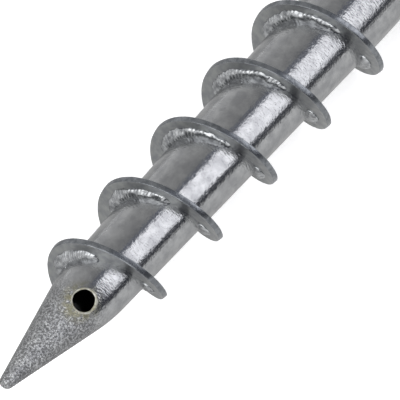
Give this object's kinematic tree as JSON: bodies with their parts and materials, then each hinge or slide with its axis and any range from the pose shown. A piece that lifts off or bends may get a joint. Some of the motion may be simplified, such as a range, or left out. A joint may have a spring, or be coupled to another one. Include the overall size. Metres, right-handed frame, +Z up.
{
  "type": "ground screw foundation",
  "caption": "Galvanised steel ground screw: a hollow tube drawn to a closed point, with a right-hand helical flight stitch-welded round its lower half and an open cross-drilled head.",
  "frame": {"origin": "centre of the open head's end face", "axes": "+X from the point to the head, along the shaft but for the 1.9 degree lean at which the screw rests; +Y level, across the shaft; +Z up"},
  "size_m": [1.0007, 0.1124, 0.1149],
  "materials": {
    "galvanised_tube": "hot-dip galvanised, bright and finely drawn along the shaft, grainy on the cone",
    "galvanised_flight": "hot-dip galvanised, satin",
    "weld_bead": "hot-dip galvanised over rippled weld metal"
  },
  "bodies": {
    "root": {"helical_flight": "galvanised_flight", "shaft_tube": "galvanised_tube", "stitch_welds": "weld_bead"}
  },
  "joints": []
}
